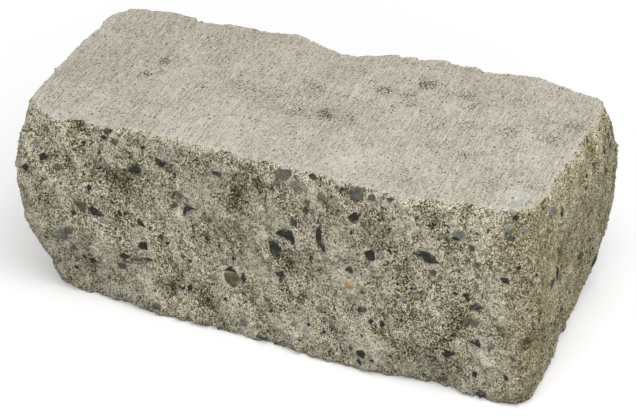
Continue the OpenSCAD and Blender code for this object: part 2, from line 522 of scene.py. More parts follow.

# %% [markdown]
# ## Where the stones are
# The stones that a split face shows best are chips of dark basalt, cut flat by the
# break. There are also grey and blue-grey ones, brown ones, pale ones, and a single
# fleck of orange. Scattering them all would be shorter, but the large ones are what the
# eye knows this block by. So the larger stones of the front and the right end are listed:
# how far along the face and how far up, as shares of it, then length, width, turn in
# degrees and number of corners.

# %% Stones listed one by one
FRONT_STONES = {
    "dark": [
        (0.58, 0.975, 5.5, 3, -10, 4), (0.47, 0.9, 4.5, 2, -23, 4), (0.4, 0.89, 6, 2.5, 7, 5),
        (0.69, 0.97, 4, 3.5, 12, 5), (0.66, 0.85, 8, 4, 37, 6), (0.54, 0.72, 6, 4, -60, 4),
        (0.525, 0.63, 12, 7.5, 193, 3), (0.505, 0.54, 10, 6.5, -76, 5),
        (0.595, 0.675, 16, 3.2, 282, 6),
        (0.685, 0.655, 7.5, 6.5, -20, 4), (0.65, 0.555, 5, 4, -10, 4), (0.515, 0.42, 5, 4.5, 60, 3),
        (0.415, 0.36, 7, 2.6, 2, 4), (0.44, 0.335, 6, 3, 89, 4), (0.675, 0.125, 5.5, 5, 14, 5),
        (0.655, 0.135, 4.5, 2, 90, 4), (0.67, 0.065, 5, 2.4, -80, 4), (0.675, 0.36, 5.5, 3, 14, 5),
        (0.71, 0.31, 4.5, 2.8, 82, 5), (0.69, 0.315, 3, 3, 14, 5), (0.725, 0.98, 4.5, 2.4, 12, 4),
        (0.195, 0.975, 5.5, 3.6, 12, 4), (0.185, 0.94, 4, 2.6, 1, 4), (0.07, 0.8, 5, 4, 12, 5),
        (0.04, 0.73, 4.5, 4.5, 12, 4), (0.24, 0.795, 8.5, 6, 31, 4), (0.29, 0.86, 7, 5, -10, 5),
        (0.15, 0.66, 4.5, 2.4, 78, 4), (0.165, 0.53, 9, 4.5, -29, 4), (0.245, 0.51, 6, 3.6, -48, 4),
        (0.34, 0.63, 10.5, 3, 40, 4), (0.12, 0.51, 4.5, 3.6, 87, 4), (0.25, 0.39, 6, 5.5, -22, 5),
        (0.285, 0.46, 3.6, 3.6, 13, 4), (0.215, 0.31, 7.5, 3.2, 8, 4), (0.26, 0.32, 5.6, 2.6, 2, 4),
        (0.145, 0.225, 4, 3.4, -35, 4), (0.34, 0.215, 4.6, 3.4, 80, 5), (0.32, 0.205, 5.4, 2, 13, 4),
        (0.785, 0.715, 15.5, 6, -21, 4), (0.835, 0.83, 4.6, 2, -10, 4), (0.93, 0.87, 4, 3.2, 13, 6),
        (0.935, 0.965, 3.6, 3.4, 13, 4), (0.925, 0.665, 6, 3.2, -32, 4), (0.985, 0.56, 6.5, 4.5, 10, 3),
        (0.875, 0.495, 9, 4.2, 19, 4), (0.86, 0.54, 5, 3, -59, 3), (0.885, 0.315, 5.5, 4.6, -47, 3),
        (0.835, 0.245, 6.5, 5, 3, 3), (0.88, 0.15, 3.8, 2.8, 92, 5), (0.935, 0.17, 4.6, 2.4, -59, 4),
        (0.895, 0.03, 6, 5.5, -35, 5), (0.84, 0.56, 3, 2.2, 0, 4),
    ],
    "grey": [
        (0.525, 0.97, 9.5, 5.5, 12, 7), (0.66, 0.965, 8.5, 8, 12, 8), (0.565, 0.8, 4.6, 4.2, 13, 4),
        (0.48, 0.03, 7, 6.5, -35, 5), (0.095, 0.75, 5.4, 3.8, 12, 6), (0.135, 0.56, 7, 5, -61, 5),
        (0.31, 0.635, 5, 3, 22, 5), (0.235, 0.3, 7.5, 2.8, 8, 4), (0.205, 0.24, 5.5, 4, 13, 6),
        (0.06, 0.13, 4.5, 3.6, -22, 5), (0.27, 0.055, 5, 4.5, 14, 6), (0.8, 0.63, 4, 4, 13, 5),
        (0.865, 0.8, 4, 3.4, -35, 5), (0.875, 0.425, 5.5, 4.4, 14, 5), (0.82, 0.06, 5, 4.5, -35, 5),
    ],
    "blue": [
        (0.545, 0.92, 5, 5, 12, 7), (0.39, 0.305, 4.6, 3.2, 14, 5), (0.59, 0.29, 4, 4.2, 14, 6),
        (0.615, 0.225, 3.6, 3.8, 14, 6), (0.44, 0.095, 5.2, 3.8, -60, 5), (0.055, 0.85, 5, 4, 86, 5),
        (0.32, 0.7, 4.4, 3.4, 79, 5), (0.095, 0.38, 9, 5.5, -84, 6), (0.84, 0.85, 7, 4.6, 13, 5),
        (0.925, 0.91, 5.4, 5, 13, 5), (0.95, 0.905, 4.2, 3, 13, 5), (0.75, 0.47, 5.5, 3.6, -41, 4),
        (0.91, 0.31, 4.4, 3.4, 14, 6), (0.985, 0.93, 6, 4.5, 13, 6),
    ],
    "brown": [
        (0.42, 0.31, 9.5, 8.5, 13, 8), (0.595, 0.895, 5, 5, 12, 6), (0.205, 0.935, 4.2, 3.4, -22, 5),
        (0.16, 0.74, 3.6, 3.6, 12, 5), (0.11, 0.41, 5.5, 5.5, 13, 6), (0.115, 0.305, 5, 3, -55, 4),
        (0.875, 0.725, 3.4, 3.4, 13, 5), (0.86, 0.42, 4, 4, 13, 5),
    ],
    "pale": [
        (0.655, 0.63, 5.5, 4.4, 80, 6), (0.565, 0.155, 4.5, 4.5, 14, 6), (0.715, 0.95, 5, 3.6, 12, 5),
        (0.22, 0.93, 5.6, 2.6, 79, 5), (0.18, 0.5, 5, 2.5, -29, 5), (0.9, 0.99, 4, 2.5, 0, 5),
    ],
    "orange": [(0.65, 0.465, 5.2, 2.6, 13, 5)],
}
END_STONES = {
    "dark": [
        (0.26, 0.56, 8, 3.5, 85, 4), (0.27, 0.88, 6, 3, 83, 4), (0.71, 0.88, 4.5, 4, 80, 4),
        (0.62, 0.85, 3, 3.6, 0, 5), (0.72, 0.75, 3.6, 3.6, 70, 4), (0.78, 0.9, 3.5, 4, 80, 5),
        (0.78, 0.2, 7, 11, 60, 6), (0.56, 0.41, 5, 9, 75, 5), (0.93, 0.72, 3, 3, 90, 4),
    ],
    "grey": [(0.87, 0.86, 3.6, 5, 0, 6), (0.6, 0.3, 4, 5, 40, 5)],
    "blue": [(0.76, 0.62, 4.4, 6, 80, 6)],
    "brown": [(0.26, 0.7, 12, 4.5, 78, 5)],
    "pale": [(0.35, 0.45, 6, 5, 60, 6)],
    "orange": [],
}
KINDS = list(FRONT_STONES)
print("stones by hand:", sum(len(FRONT_STONES[k]) + len(END_STONES[k]) for k in KINDS))

# %% [markdown]
# ## Stones on the grid
# A stone has to lie in the break wherever the break is. A position in space would leave
# it hanging or buried once the relief is added. So its place is kept as a point of the
# grid, a ring and a column, and a listed stone takes the nearest one.

# %% Find a place on the grid
def places_on(axis, side, stones):
    """Ring and column of the grid point nearest to each stone's share along and up the
    face that looks along the axis: 0 is the x axis and 1 is the y axis."""
    along = 1 - axis
    flat = wall.reshape(-1, 3)
    looks = np.repeat(side * facing[None, :, axis] > 0.25, len(heights), axis=0).reshape(-1)
    wanted = low + np.array(stones).reshape(-1, 6)[:, [0, 0, 1]] * size
    apart = (flat[None, :, along] - wanted[:, None, along]) ** 2
    apart += (flat[None, :, 2] - wanted[:, None, 2]) ** 2
    apart[:, ~looks] = np.inf
    return np.stack(np.divmod(apart.argmin(axis=1), COLUMNS), axis=1)


print("orange fleck, ring and column:", places_on(1, -1, FRONT_STONES["orange"])[0])

# %% [markdown]
# ## Small stones
# Between the large stones lie hundreds of small ones, and the back and the left end have
# large ones too. They are scattered from a fixed seed, so that each run gives the same
# block. Most are small, because a power of an even random number favours the small end.

# %% Scatter the small stones
next_column = np.roll(wall, -1, axis=1)
column_width = np.linalg.norm(next_column - wall, axis=2).mean(axis=0)


def any_columns(count, rng):
    """Columns chosen at random, the wider ones more often, so that what is scattered
    over them lies evenly on the block."""
    return rng.choice(COLUMNS, count, p=column_width / column_width.sum())


def scattered(count, smallest, largest, seed):
    """Places spread evenly over the broken faces, as ring and column, and the stones
    there: a length from smallest to largest, mostly small, then width, turn and corners.
    On the front and the right end only the small ones are kept."""
    rng = np.random.default_rng(seed)
    column = any_columns(count, rng)
    ring = np.searchsorted(heights, rng.uniform(heights[2], heights[-4], count))
    length = smallest * (largest / smallest) ** (rng.random(count) ** 1.8)
    width = length * rng.uniform(0.45, 0.95, count)
    turn = rng.uniform(0, 360, count)
    corners = rng.integers(3, 8, count)
    seen = (facing[column, 1] < -0.3) | (facing[column, 0] > 0.5)
    to_edge = np.minimum(heights[ring] - low[2], high[2] - heights[ring])
    kept = (~seen | (length < 1.9 * smallest)) & (to_edge > 0.6 * length)
    places = np.stack([ring, column], axis=1)[kept]
    return places, np.stack([length, width, turn, corners], axis=1)[kept]


print("columns are", column_width.min().round(2), "to", column_width.max().round(2), "mm wide")

# %% [markdown]
# ## The stones of each kind
# In the real mix two stones can't be in the same place. The listed ones come first,
# and a scattered one is left out where it would touch one of them. Dark chips are the most
# frequent, then brown and pale ones, and there are few orange ones.

# %% Gather the stones
SCATTER = {
    "dark": (460, 1.9, 12, 1), "grey": (150, 2, 11, 2), "blue": (130, 2, 9, 3),
    "brown": (200, 2, 10, 4), "pale": (170, 2, 7, 5), "orange": (5, 1.2, 1.6, 6),
}
placed = {}
for kind in KINDS:
    places = [places_on(1, -1, FRONT_STONES[kind]), places_on(0, 1, END_STONES[kind])]
    shapes = np.array(FRONT_STONES[kind] + END_STONES[kind])[:, 2:]
    placed[kind] = (np.concatenate(places), shapes)
taken = np.concatenate([wall[tuple(places.T)] for places, shapes in placed.values()])
room = np.concatenate([shapes[:, 0] for places, shapes in placed.values()]) / 2
stones = {}
for kind in KINDS:
    places, shapes = placed[kind]
    loose_places, loose = scattered(*SCATTER[kind])
    apart = np.linalg.norm(wall[tuple(loose_places.T)][:, None] - taken[None], axis=2)
    free = (apart > room[None] + loose[:, :1] / 2).all(axis=1)
    places = np.concatenate([places, loose_places[free]])
    stones[kind] = (places, np.concatenate([shapes, loose[free]]))
    print(kind, "stones:", len(places))

# %% [markdown]
# ## The break round the stones
# Concrete breaks flat across a stone and a little way round it, because the stone is
# harder than the cement. So each larger stone levels the relief where it lies. Round every
# third one a ring of clean cement shows, where the mix sat tight against the stone. The
# stones themselves come later, once the surface they lie in is done.

# %% Level the break round the stones
LEVELLING_STONE = 2.6
LEVELLED_TIMES = 20

all_places = np.concatenate([places for places, shapes in stones.values()])
all_shapes = np.concatenate([shapes for places, shapes in stones.values()])
large = all_shapes[:, 0] > LEVELLING_STONE
ring, column = all_places[large].T
centres = wall[ring, column]
reach = 0.5 * all_shapes[large, 0]
cover = np.zeros(raised.shape)
rings = np.zeros(raised.shape)
for number, (centre, radius) in enumerate(zip(centres, reach)):
    apart = np.linalg.norm(wall - centre, axis=2) / radius
    cover = np.maximum(cover, np.clip(2.6 - 1.7 * apart, 0, 1))
    ring_of_cement = np.clip(1 - np.abs(apart - 1.1) / 0.45, 0, 1) * (number % 3 == 0)
    rings = np.maximum(rings, ring_of_cement)
level = evened(raised, LEVELLED_TIMES)
raised += cover * (level - raised)
print("levelled round", len(centres), "stones")

# %% [markdown]
# ## Stains, painted shade and pits on the front
# A block that has lain outdoors has stains where damp stays and clean patches between
# them, and pits where a stone has dropped out. Noise gives such patches on every face, but
# those that stand out on the front are listed, each a bell shape: share along, share up,
# reach in mm, and how dark (above 0) or light (below 0), or how deep in mm. The dark
# patches are partly stains and partly painted shade, the light ones partly clean patches
# and partly painted light, and the pits are painted darker as well, as painted shade.

# %% Stains, painted shade and pits on the front
PATCH_FORCE = 1.1
PATCH_HEIGHT = 0.75
FRONT_STAINS_AND_PAINTED_SHADE = [
    (0.23, 0.75, 9, 1.2), (0.18, 0.68, 8, 1.2), (0.07, 0.6, 9, 0.8), (0.13, 0.83, 8, 0.8),
    (0.2, 0.5, 8, 1.2), (0.31, 0.26, 8, 1.2), (0.37, 0.15, 8, 1.2), (0.43, 0.75, 9, 0.8),
    (0.47, 0.88, 7, 0.8), (0.52, 0.5, 11, 1.8), (0.5, 0.3, 8, 0.8), (0.7, 0.87, 6, 0.8),
    (0.75, 0.68, 10, 1.8), (0.76, 0.4, 9, 1.8), (0.81, 0.26, 10, 2.4), (0.75, 0.18, 8, 1.2),
    (0.85, 0.18, 7, 0.8), (0.86, 0.45, 8, 1.8), (0.83, 0.79, 8, 1.2), (0.92, 0.83, 8, 0.8),
    (0.96, 0.35, 7, 0.8), (0.8, 0.94, 8, 0.8),
    (0.17, 0.4, 11, -1.2), (0.26, 0.18, 11, -1.2), (0.37, 0.76, 8, -1.2), (0.47, 0.4, 9, -1.8),
    (0.56, 0.15, 11, -1.2), (0.65, 0.46, 12, -1.2), (0.64, 0.7, 7, -1.2), (0.69, 0.14, 11, -1.8),
    (0.73, 0.92, 7, -0.8), (0.88, 0.88, 9, -0.8), (0.92, 0.5, 8, -0.8), (0.9, 0.2, 11, -1.8),
]
FRONT_PITS = [
    (0.14, 0.98, 4, 1.8), (0.115, 0.79, 3.5, 1.6), (0.97, 0.335, 3.5, 1.8), (0.3, 0.16, 3.5, 1.5),
    (0.56, 0.33, 3.2, 1.6), (0.49, 0.2, 3.2, 1.4), (0.8, 0.88, 3, 1.4), (0.37, 0.5, 3, 1.4),
]
stains_and_painted_shade = np.zeros(raised.shape)
pits = np.zeros(raised.shape)
is_front = facing[None, :, 1] < -0.25
for rows, field in ((FRONT_STAINS_AND_PAINTED_SHADE, stains_and_painted_shade), (FRONT_PITS, pits)):
    for along, up, reach, strength in rows:
        sideways = wall[:, :, 0] - (low[0] + along * size[0])
        upwards = PATCH_HEIGHT * (wall[:, :, 2] - (low[2] + up * size[2]))
        bell = np.exp(-1.5 * (sideways**2 + upwards**2) / reach**2)
        field += PATCH_FORCE * is_front * strength * bell
raised -= pits
moved_wall = wall.copy()
moved_wall[:, :, :2] += raised[:, :, None] * facing
print("stains, clean patches and pits:", len(FRONT_STAINS_AND_PAINTED_SHADE) + len(FRONT_PITS))

# %% [markdown]
# ## The bed faces
# The mould leaves both bed faces flat. A lid of one large face each would close the wall,
# but it could not be ragged at its edge. So rings go from the top and the foot of the wall
# in to a line along the middle of the block, close together near the edge.

# %% Close the bed faces
CAP_RINGS = 42
UNDER_RINGS = 9
FADE = 10.0

spine_half = (size[0] - size[1]) / 2
spine = np.zeros((COLUMNS, 3))
spine[:, 0] = np.clip(plan[:, 0], -spine_half, spine_half)


def cap_rings(rim, moved_rim, level, count):
    """Rings from the rim in to the spine on a flat bed face, close together by the rim.
    What moved the rim fades out over the first centimetre."""
    inward = np.linspace(0, 1, count + 1)[1:, None, None]
    share = 0.55 * inward + 0.45 * inward**2
    rings = rim + share * (spine - rim)
    gone = np.linalg.norm(rings - rim, axis=2, keepdims=True)
    rings += np.clip(1 - gone / FADE, 0, 1) ** 2 * (moved_rim - rim)
    rings[:, :, 2] = level
    return rings, gone[:, :, 0]


over, over_depth = cap_rings(wall[-1], moved_wall[-1], high[2], CAP_RINGS)
under, under_depth = cap_rings(wall[0], moved_wall[0], low[2], UNDER_RINGS)
block = np.concatenate([under[::-1], moved_wall, over])
block = np.clip(block, low, high)
print("block grid:", block.shape, "triangles:", 2 * (len(block) - 1) * COLUMNS)

# %% [markdown]
# ## Painted shade and dirt in the hollows
# Hollows are painted darker and what stands out lighter, which is most of what makes a
# broken face look deep: partly dirt that stays in hollows and wears off what stands out,
# and partly painted shade. The finish could read the slope of the mesh, but a recess shows
# only against the ground round it. So each point's height is compared with that of the
# evened face, narrowly and widely, and the result is kept as a number for the finish. The
# corner between the front and the right end is worn, and is painted a little darker, most
# towards the top.
# A second number says how far a point is inside a bed face, or, below 0, outside it.

# %% Painted shade and dirt in hollows, and the skin
NARROW_SHADE_AND_DIRT = 0.3
WIDE_SHADE_AND_DIRT = 0.8
FRONT_LESS_SHADE_AND_DIRT = 0.2
CORNER_DARKER = 0.25
CORNER_TOP_DARKER = 0.8

# How far each point lies below the evened face: painted darker, partly as dirt and partly as painted
# shade.
narrowly = evened(raised, 14) - raised
widely = evened(raised, 120) - evened(raised, 6)
hollow = NARROW_SHADE_AND_DIRT * narrowly + WIDE_SHADE_AND_DIRT * widely
hollow *= 1 - FRONT_LESS_SHADE_AND_DIRT * is_front
# The front's stains and painted shade and light, and painted shade in the pits, are added here; rings
# of clean cement make it lighter.
hollow += stains_and_painted_shade + pits - rings * (1 - end_calm)
from_corner = np.abs(facing.sum(axis=1)) / 0.6
by_corner = facing[:, 0] > 0
corner = np.clip(1.2 - from_corner, 0, 1) * by_corner
share_up = (heights[:, None] - low[2]) / size[2]
# The corner between the front and the right end is painted darker, most towards the top.
hollow += corner[None, :] * (CORNER_DARKER + CORNER_TOP_DARKER * share_up**2)
hollow_all = np.concatenate([
    np.zeros(under_depth.shape), hollow, np.zeros(over_depth.shape)
])
out_of_bed = np.minimum(high[2] - heights, heights - low[2])
skin_all = np.concatenate([
    under_depth[::-1], np.repeat(-out_of_bed[:, None], COLUMNS, axis=1), over_depth
])
grain_faded = np.maximum(np.clip(1.7 - from_corner, 0, 1) * by_corner, 0.6 * end_calm)
print("hollow: from", hollow.min().round(1), "to", hollow.max().round(1))

# %% [markdown]
# ## Pores and pale patches on the top
# The top bed face came from a mould. Air trapped against the mould left clusters of small
# pores, and where the cement ran thin against it the skin is paler. The pores are too
# small for the mesh, so only their clusters are placed here, for the finish to fill:
# shares along and across, reach in mm, and strength.

# %% Pores and pale patches
PORES = [
    (0.19, 0.6, 7, 1.0), (0.18, 0.48, 7, 0.9), (0.07, 0.77, 8, 0.7), (0.03, 0.69, 5, 0.8),
    (0.11, 0.23, 5, 0.8), (0.29, 0.48, 5, 0.9), (0.35, 0.53, 9, 0.8), (0.41, 0.51, 10, 0.7),
    (0.47, 0.6, 12, 0.8), (0.53, 0.44, 9, 1.1), (0.48, 0.43, 10, 0.7), (0.44, 0.43, 8, 0.6),
    (0.28, 0.68, 8, 0.6), (0.41, 0.64, 7, 0.6), (0.57, 0.45, 9, 0.8), (0.6, 0.68, 8, 1.0),
    (0.64, 0.67, 9, 0.9), (0.66, 0.77, 9, 1.1), (0.66, 0.62, 6, 0.8), (0.53, 0.79, 5, 0.8),
    (0.74, 0.74, 7, 0.9), (0.76, 0.67, 6, 0.8), (0.8, 0.35, 6, 0.9), (0.74, 0.38, 10, 0.6),
    (0.78, 0.54, 7, 0.7), (0.84, 0.56, 10, 0.7), (0.92, 0.56, 8, 0.9), (0.95, 0.67, 8, 0.9),
    (0.87, 0.19, 8, 0.6), (0.94, 0.24, 7, 0.6), (0.73, 0.12, 11, 0.7), (0.71, 0.49, 9, 0.6),
]
PALE = [
    (0.21, 0.7, 14, 0.8), (0.18, 0.23, 12, 0.8), (0.55, 0.65, 8, 1.0), (0.7, 0.22, 9, 0.7),
    (0.6, 0.15, 14, 1.0), (0.73, 0.61, 9, 0.8), (0.84, 0.9, 9, 0.8), (0.21, 0.46, 8, 0.6),
    (0.92, 0.15, 12, 0.9), (0.92, 0.73, 8, 0.8), (0.49, 0.68, 6, 0.5), (0.32, 0.18, 16, 0.5),
]


def patches_on_top(rows):
    """At each point of the grid the strongest of the patches, each a bell shape."""
    field = np.zeros(block.shape[:2])
    for along, across, reach, strength in rows:
        centre = low[:2] + np.array([along, across]) * size[:2]
        apart = np.linalg.norm(block[:, :, :2] - centre, axis=2) / reach
        field = np.maximum(field, strength * np.exp(-1.5 * apart**2))
    return field


pored = patches_on_top(PORES)
pale = patches_on_top(PALE)
print("clusters of pores:", len(PORES), "and pale patches:", len(PALE))

# %% [markdown]
# ## The body
# The rings are now one closed skin round the whole block. They meet in lines where
# several points share a place, which would leave seams, so those points are made one. The
# body is one smooth mesh, and each number worked out above is painted on its points.

# %% Make the body
def welded(points, faces):
    """The faces with points in the same place made one, and without the faces that
    this closes up. Also the index of each point that stays."""
    keys = np.round(points * 1e4).astype(np.int64)
    kept, first, new_index = np.unique(keys, axis=0, return_index=True, return_inverse=True)
    renamed = new_index.reshape(-1)[faces]
    a, b, c = renamed.T
    return renamed[(a != b) & (b != c) & (c != a)], first


body_points = block.reshape(-1, 3)
body_faces, stays = welded(body_points, grid_faces(*block.shape[:2]))
body = mesh_object("block_body", body_points[stays], body_faces, True)


def paint(piece, name, values):
    """A number at each point of a piece, for its material to read."""
    layer = piece.data.attributes.new(name, "FLOAT", "POINT")
    layer.data.foreach_set("value", values.astype(np.float32))


round_the_block = (len(block), 1)
painted = {
    "hollow": hollow_all, "skin": skin_all, "pored": pored, "pale": pale,
    "tone": np.full(block.shape[:2], 0.5),
    "warm": np.tile(end_calm, round_the_block),
    "worn": np.tile(grain_faded, round_the_block),
}
for name, values in painted.items():
    paint(body, name, values.reshape(-1)[stays])
print("body:", len(body.data.vertices), "points,", len(body.data.polygons), "triangles")

# %% [markdown]
# ## Building materials
# All the finishes here are made alike: several patterns are added up, each with its own
# weight, and the sum chooses a colour from a ramp. A picture of concrete could be laid on
# instead, but it would repeat, and it would not follow the hollows. The helpers below
# are for adding up, for choosing, and for reading the numbers painted on a piece.

# %% Helpers for materials
def painted_on(tree, name):
    """The number painted on the piece under this name."""
    return put(tree, "ShaderNodeAttribute", {"attribute_name": name}).outputs["Fac"]


def from_to(tree, value, least, most, smooth=False):
    """A value's place between two others: 0 at the first and 1 at the second."""
    settings = {"interpolation_type": "SMOOTHSTEP"} if smooth else {}
    placed = put(
        tree, "ShaderNodeMapRange", settings, Value=value, From_Min=least, From_Max=most
    )
    return placed.outputs[0]


def between(tree, factor, first, second):
    """Between two numbers: the first at factor 0 and the second at 1."""
    mix = put(tree, "ShaderNodeMix", {"data_type": "FLOAT"}, _0=factor, _2=first, _3=second)
    return mix.outputs[0]


def blended(tree, factor, first, second, way="MIX"):
    """Between two colours, or the first multiplied by the second."""
    settings = {"data_type": "RGBA", "blend_type": way}
    return put(tree, "ShaderNodeMix", settings, _0=factor, _6=first, _7=second).outputs[2]


def total(tree, *weighted):
    """The sum of several sockets, each with its weight."""
    value = 0.0
    for socket, weight in weighted:
        value = combined(tree, "MULTIPLY_ADD", socket, weight, value)
    return value


print("helpers:", painted_on.__name__, from_to.__name__, between.__name__, total.__name__)

# %% [markdown]
# ## Colours and groups
# A colour is easiest to judge as it looks on a screen, but nodes reckon in linear light,
# so one helper changes the first into the second. Grain and stains are in every finish.
# Each is built once as a node group with named inputs, and placed with its own values,
# because a copy in each material would have to be mended in all of them.

# %% Helpers for colours and groups
def ramp(tree, factor, stops):
    """A colour ramp from (place, colour) pairs."""
    made = put(tree, "ShaderNodeValToRGB", _0=factor)
    elements = made.color_ramp.elements
    while len(elements) < len(stops):
        elements.new(0.5)
    for element, (place, colour) in zip(elements, stops):
        element.position = place
        element.color = colour
    return made.outputs[0]


def shade(red, green, blue):
    """A colour given as it looks on a screen, 0 to 255, in the linear form nodes use."""
    values = np.array([red, green, blue]) / 255
    linear = np.where(values > 0.04045, ((values + 0.055) / 1.055) ** 2.4, values / 12.92)
    return (*linear.tolist(), 1.0)


def new_group(name, inputs, outputs):
    """An empty node group with number inputs, given with their values, and outputs."""
    group = bpy.data.node_groups.new(name, "ShaderNodeTree")
    for label, value in inputs.items():
        made = group.interface.new_socket(label, in_out="INPUT", socket_type="NodeSocketFloat")
        made.default_value = value
    for label in outputs:
        group.interface.new_socket(label, in_out="OUTPUT", socket_type="NodeSocketFloat")
    return group, group.nodes.new("NodeGroupInput"), group.nodes.new("NodeGroupOutput")


def use_group(tree, group, **inputs):
    """Place a node group and set or link its inputs."""
    return put(tree, "ShaderNodeGroup", {"node_tree": group}, **inputs)


print("middle grey in linear form:", round(shade(128, 128, 128)[0], 3))

# %% [markdown]
# ## Sand grains and stains
# Sand shows as rounded grains about a millimetre wide, each of its own shade, with darker
# gaps between, painted partly as the cement's own colour and partly as painted shade. Noise
# alone would give soft blots. A Voronoi texture gives grains: its distance is the dome of a
# grain, and its colour is the grain's own shade. A little noise first bends the coordinates,
# so that the grains are not round. Stains and damp patches are plain soft noise. Every
# finish here uses the two, so each is a group.

# %% Groups for grains and stains
def scale_for(tree, width):
    """A texture scale from a width in millimetres, for coordinates in metres."""
    return combined(tree, "DIVIDE", 1000.0, width)


def drawn_out(tree, upwards):
    """Object coordinates with their height made smaller, which draws a pattern out
    upwards on the sides and leaves it as it is on the bed faces."""
    place = put(tree, "ShaderNodeTexCoord").outputs["Object"]
    scale = put(tree, "ShaderNodeCombineXYZ", X=1.0, Y=1.0, Z=upwards).outputs[0]
    return put(tree, "ShaderNodeMapping", Vector=place, Scale=scale).outputs[0]


GRAIN_UPWARDS = 0.72
GRAIN_BEND = 0.0009


def grain_group():
    """Grains of a given width: dome, 1 in the middle of a grain and 0 in the gaps, and
    shade, a random number for each grain."""
    group, given, result = new_group("grains", {"Width": 1.5}, ["Dome", "Shade"])
    place = drawn_out(group, GRAIN_UPWARDS)
    scale = scale_for(group, given.outputs["Width"])
    bend = put(
        group, "ShaderNodeTexNoise", {"noise_dimensions": "3D"},
        Vector=place, Scale=scale, Detail=1.0,
    ).outputs["Color"]
    reach = combined(group, "MULTIPLY", given.outputs["Width"], GRAIN_BEND)
    spread = put(group, "ShaderNodeCombineXYZ", X=reach, Y=reach, Z=reach).outputs[0]
    bent = put(
        group, "ShaderNodeVectorMath", {"operation": "MULTIPLY_ADD"},
        _0=bend, _1=spread, _2=place,
    ).outputs[0]
    cells = put(group, "ShaderNodeTexVoronoi", Vector=bent, Scale=scale)
    dome = from_to(group, cells.outputs["Distance"], 0.7, 0.15, smooth=True)
    parts = put(group, "ShaderNodeSeparateColor", Color=cells.outputs["Color"])
    group.links.new(dome, result.inputs["Dome"])
    group.links.new(parts.outputs[0], result.inputs["Shade"])
    return group


def stain_group():
    """Soft patches of a given width: a number from -1 to 1 round an even 0. Upwards
    below 1 draws them out up the sides."""
    group, given, result = new_group(
        "stains", {"Width": 12.0, "Shift": 0.0, "Upwards": 0.5}, ["Value"]
    )
    place = drawn_out(group, given.outputs["Upwards"])
    noise = put(
        group, "ShaderNodeTexNoise", {"noise_dimensions": "4D"},
        Vector=place, W=given.outputs["Shift"],
        Scale=scale_for(group, given.outputs["Width"]), Detail=3.0, Roughness=0.55,
    )
    value = combined(group, "MULTIPLY_ADD", noise.outputs[0], 4.0, -2.0)
    group.links.new(value, result.inputs["Value"])
    return group


GRAINS = grain_group()
STAINS = stain_group()
print("groups:", [group.name for group in bpy.data.node_groups])

# %% [markdown]
# ## Concrete
# The body has two finishes: broken concrete on its sides, and on its bed faces the thin
# pale skin that formed against the mould. They could be two materials, but the border
# between them is ragged and finer than the mesh. So both are worked out in one material,
# and a number painted on the body chooses between them. First come the patterns that the
# two are made of: grains of three widths and stains of four.

# %% Patterns in the concrete
concrete = bpy.data.materials.new("split_concrete")
concrete.use_nodes = True
tree = concrete.node_tree
tree.nodes.clear()

coarse = use_group(tree, GRAINS, Width=1.4).outputs
fine = use_group(tree, GRAINS, Width=0.55).outputs
grit = use_group(tree, GRAINS, Width=0.5).outputs
flecks = use_group(tree, STAINS, Width=0.75, Shift=17.0, Upwards=0.4).outputs[0]
clots = use_group(tree, STAINS, Width=2.2, Shift=29.0, Upwards=0.6).outputs[0]
mottle = use_group(tree, STAINS, Width=4.5, Shift=3.0, Upwards=0.6).outputs[0]
patches = use_group(tree, STAINS, Width=18.0).outputs[0]
warm_at = painted_on(tree, "warm")
worn_at = painted_on(tree, "worn")
skin_at = painted_on(tree, "skin")
pored_at = painted_on(tree, "pored")
print("patterns in the concrete:", len(tree.nodes) - 4)

# %% [markdown]
# ## The broken faces' colour
# Broken concrete is painted pale in the middle of each grain and dark olive in the gaps and
# hollows, partly as its own colour and partly as painted shade, and the hollows matter more
# than any pattern. All the patterns and the painted shade and dirt of the hollows add up to
# one value, and the value picks the colour. On the worn corner, and a little on the right
# end, the value is drawn to an even one, because wear takes the grain away.

# %% Value of the broken faces
EVEN_BROAD = 0.08
EVEN_GRIT = 0.46

broad_value = total(
    tree,
    (coarse["Shade"], 0.06),
    # The domes make the middle of each grain lighter and its gaps darker: painted shade between the
    # grains, with the grains' own colour.
    (coarse["Dome"], 0.06),
    (flecks, 0.12),
    (fine["Shade"], 0.12),
    (fine["Dome"], 0.12),
    (patches, 0.14),
    (mottle, 0.17),
    (clots, 0.10),
    # The painted shade and dirt of the hollows, with the front's stains and painted shade and light.
    (painted_on(tree, "hollow"), -0.145),
    (painted_on(tree, "tone"), 0.12),
    (warm_at, -0.03),
)
grit_value = combined(tree, "MULTIPLY", grit["Shade"], 0.92)
split_value = combined(
    tree, "ADD",
    between(tree, combined(tree, "MULTIPLY", worn_at, 0.5), broad_value, EVEN_BROAD),
    between(tree, combined(tree, "MULTIPLY", worn_at, 0.4), grit_value, EVEN_GRIT),
)
split_height = total(
    tree, (coarse["Dome"], 0.28), (fine["Dome"], 0.30), (flecks, 0.26), (clots, 0.24)
)
print("value of the broken faces: sum of 12 patterns")

# %% [markdown]
# ## Warm and cool cement
# Where the cement has weathered it is a warm olive grey, and where it is cleaner it is
# cool. One ramp with a tint over it would turn the dark gaps blue as well. So there are two
# ramps with the same places, and soft stains choose between them. The right end is warm
# all over, and a little yellower than the rest.

# %% Colours of the broken faces
VALUE_PLACES = (0.205, 0.37, 0.525, 0.685, 0.845)
WARM_CEMENT = [(58, 51, 29), (114, 105, 73), (164, 154, 119), (206, 197, 168), (243, 237, 217)]
COOL_CEMENT = [(54, 52, 36), (110, 106, 87), (160, 155, 136), (202, 198, 181), (242, 239, 227)]
END_TINT = (1.0, 0.985, 0.885, 1.0)


def colours_at(tree, value, places, colours):
    """A ramp through colours given as they look on a screen, each at its place."""
    return ramp(tree, value, [(n, shade(*colour)) for n, colour in zip(places, colours)])


